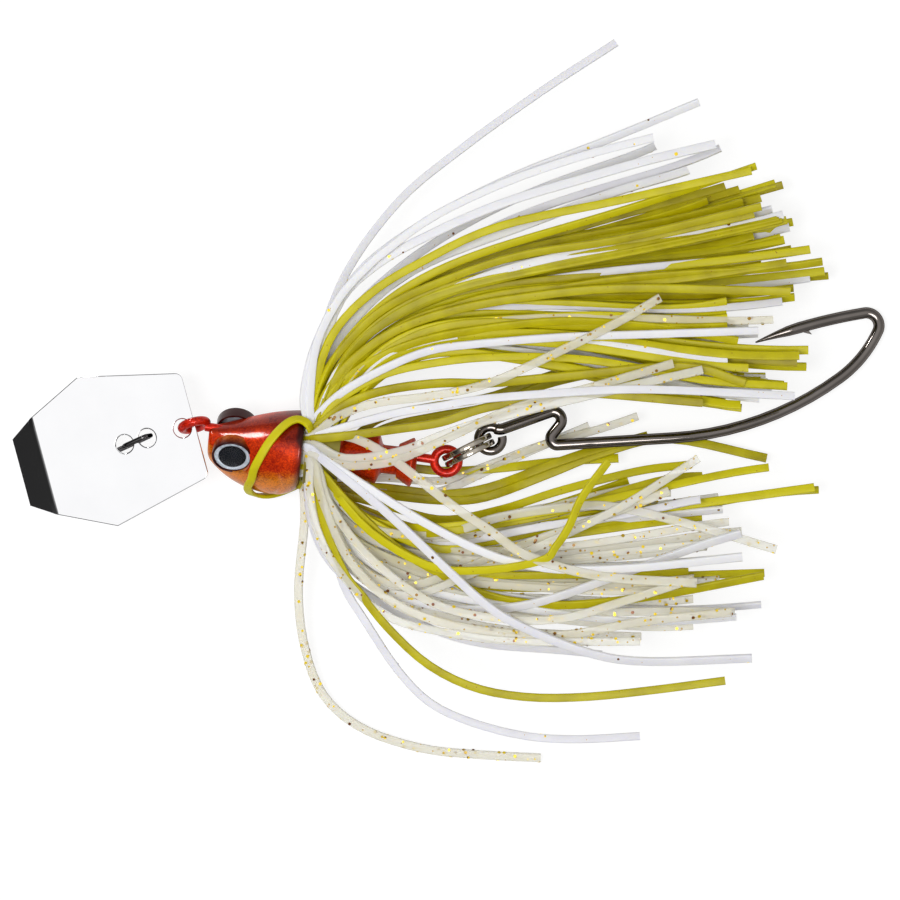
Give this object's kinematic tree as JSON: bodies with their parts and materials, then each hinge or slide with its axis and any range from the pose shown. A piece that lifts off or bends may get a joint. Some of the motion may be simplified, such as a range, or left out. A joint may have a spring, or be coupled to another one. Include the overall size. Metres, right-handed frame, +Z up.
{
  "type": "bladed jig lure",
  "caption": "Bladed jig fishing lure lying on its side: hinged hexagonal blade with snap, painted fish-head casting, silicone strand skirt, split ring and free-swinging offset hook.",
  "frame": {"origin": "middle of the lure's box, on the surface that it lies on", "axes": "+X from the blade's tip to the hook's bend, +Z up from the surface, +Y across the skirt towards the hook point's side"},
  "size_m": [0.1354, 0.1123, 0.016],
  "materials": {
    "head_paint": "clear-coated metallic red fading to orange below",
    "wire_paint": "glossy red paint over wire",
    "eye_foil": "silver foil",
    "eye_pupil": "black",
    "eye_dome": "clear resin",
    "collar_rubber": "matt",
    "chartreuse_silicone": "silky, slightly translucent",
    "white_silicone": "silky, slightly translucent",
    "pearl_silicone": "translucent with gold flakes",
    "blade_steel": "mirror polished",
    "snap_wire": "dark nickel",
    "ring_nickel": "bright nickel",
    "hook_black_nickel": "black nickel"
  },
  "bodies": {
    "head": {"head_casting": "head_paint", "frame_wire": "wire_paint", "near_eye_foil": "eye_foil", "near_eye_pupil": "eye_pupil", "near_eye_dome": "eye_dome", "far_eye_foil": "eye_foil", "far_eye_pupil": "eye_pupil", "far_eye_dome": "eye_dome", "skirt_collar": "collar_rubber", "wrapped_strand": "chartreuse_silicone", "upper_prop_strand": "white_silicone", "lower_prop_strand": "pearl_silicone", "upper_chartreuse_strands": "chartreuse_silicone", "upper_white_strands": "white_silicone", "upper_pearl_strands": "pearl_silicone", "lower_chartreuse_strands": "chartreuse_silicone", "lower_white_strands": "white_silicone", "lower_pearl_strands": "pearl_silicone", "top_chartreuse_strands": "chartreuse_silicone", "top_white_strands": "white_silicone", "top_pearl_strands": "pearl_silicone"},
    "blade": {"blade": "blade_steel"},
    "snap": {"snap": "snap_wire"},
    "split_ring": {"split_ring": "ring_nickel"},
    "hook": {"hook": "hook_black_nickel"}
  },
  "joints": [
    {"name": "blade_flap", "type": "hinge", "parent": "head", "child": "blade", "pos_m": [-0.0394, -0.0034, 0.0083], "axis": [-0.2605, 0.9655, 0], "range_deg": [-65, 65]},
    {"name": "snap_swing", "type": "hinge", "parent": "blade", "child": "snap", "pos_m": [-0.04845, -0.00584, 0.00648], "axis": [0.8953, 0.4036, 0.1885], "range_deg": [-45, 45]},
    {"name": "ring_swing", "type": "hinge", "parent": "head", "child": "split_ring", "pos_m": [-0.00065, -0.00895, 0.0073], "axis": [0, 0, 1], "range_deg": [-90, 60], "deforming": ["upper_prop_strand", "lower_prop_strand", "upper_chartreuse_strands", "upper_white_strands", "upper_pearl_strands", "lower_chartreuse_strands", "lower_white_strands", "lower_pearl_strands", "top_chartreuse_strands", "top_white_strands", "top_pearl_strands"]},
    {"name": "hook_swing", "type": "hinge", "parent": "split_ring", "child": "hook", "pos_m": [0.00275, -0.00724, 0.0073], "axis": [-0.4478, 0.8942, 0], "range_deg": [-75, 75], "deforming": ["upper_prop_strand", "lower_prop_strand", "upper_chartreuse_strands", "upper_white_strands", "upper_pearl_strands", "lower_chartreuse_strands", "lower_white_strands", "lower_pearl_strands", "top_chartreuse_strands", "top_white_strands", "top_pearl_strands"]}
  ]
}
